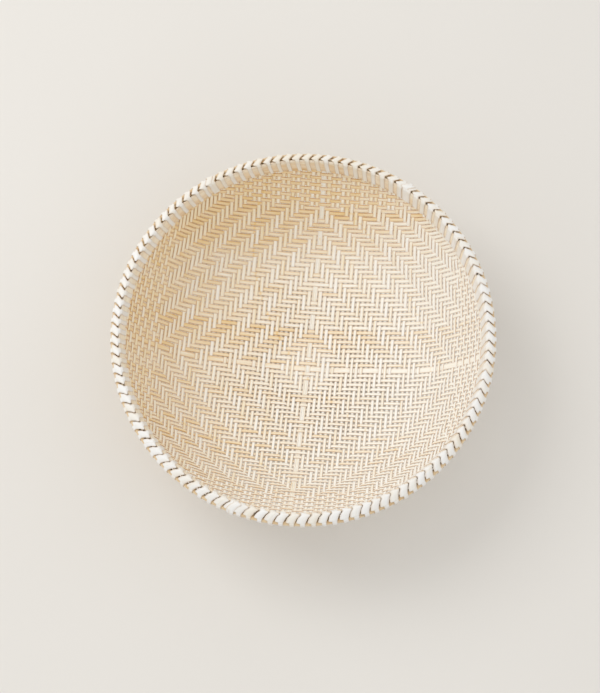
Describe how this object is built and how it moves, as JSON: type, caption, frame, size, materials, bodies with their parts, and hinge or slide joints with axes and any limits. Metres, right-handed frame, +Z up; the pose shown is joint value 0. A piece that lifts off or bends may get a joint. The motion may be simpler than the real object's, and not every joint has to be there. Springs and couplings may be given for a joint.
{
  "type": "zaru bamboo basket",
  "caption": "Round bowl-shaped kitchen basket of twilled split bamboo, its rim held between two bent hoops and lashed with a flat bamboo strip.",
  "frame": {"origin": "on the surface that the basket stands on, under the middle of its bottom", "axes": "+Z up along the bowl's axis; +X to the right and +Y to the top of the picture, with the warp about 7 degrees clockwise of Y"},
  "size_m": [0.2994, 0.2994, 0.0986],
  "materials": {
    "woven_bamboo": "satin",
    "warp_bamboo": "satin",
    "weft_bamboo": "satin",
    "hoop_bamboo": "satin",
    "lashing_bamboo": "satin"
  },
  "bodies": {
    "root": {"woven_bowl": "woven_bamboo", "wide_center_warp": "warp_bamboo", "wide_center_weft": "weft_bamboo", "inner_hoop": "hoop_bamboo", "outer_hoop": "hoop_bamboo", "lashing_strip_1": "lashing_bamboo", "lashing_strip_2": "lashing_bamboo", "lashing_strip_3": "lashing_bamboo", "lashing_strip_4": "lashing_bamboo", "lashing_strip_5": "lashing_bamboo"}
  },
  "joints": []
}
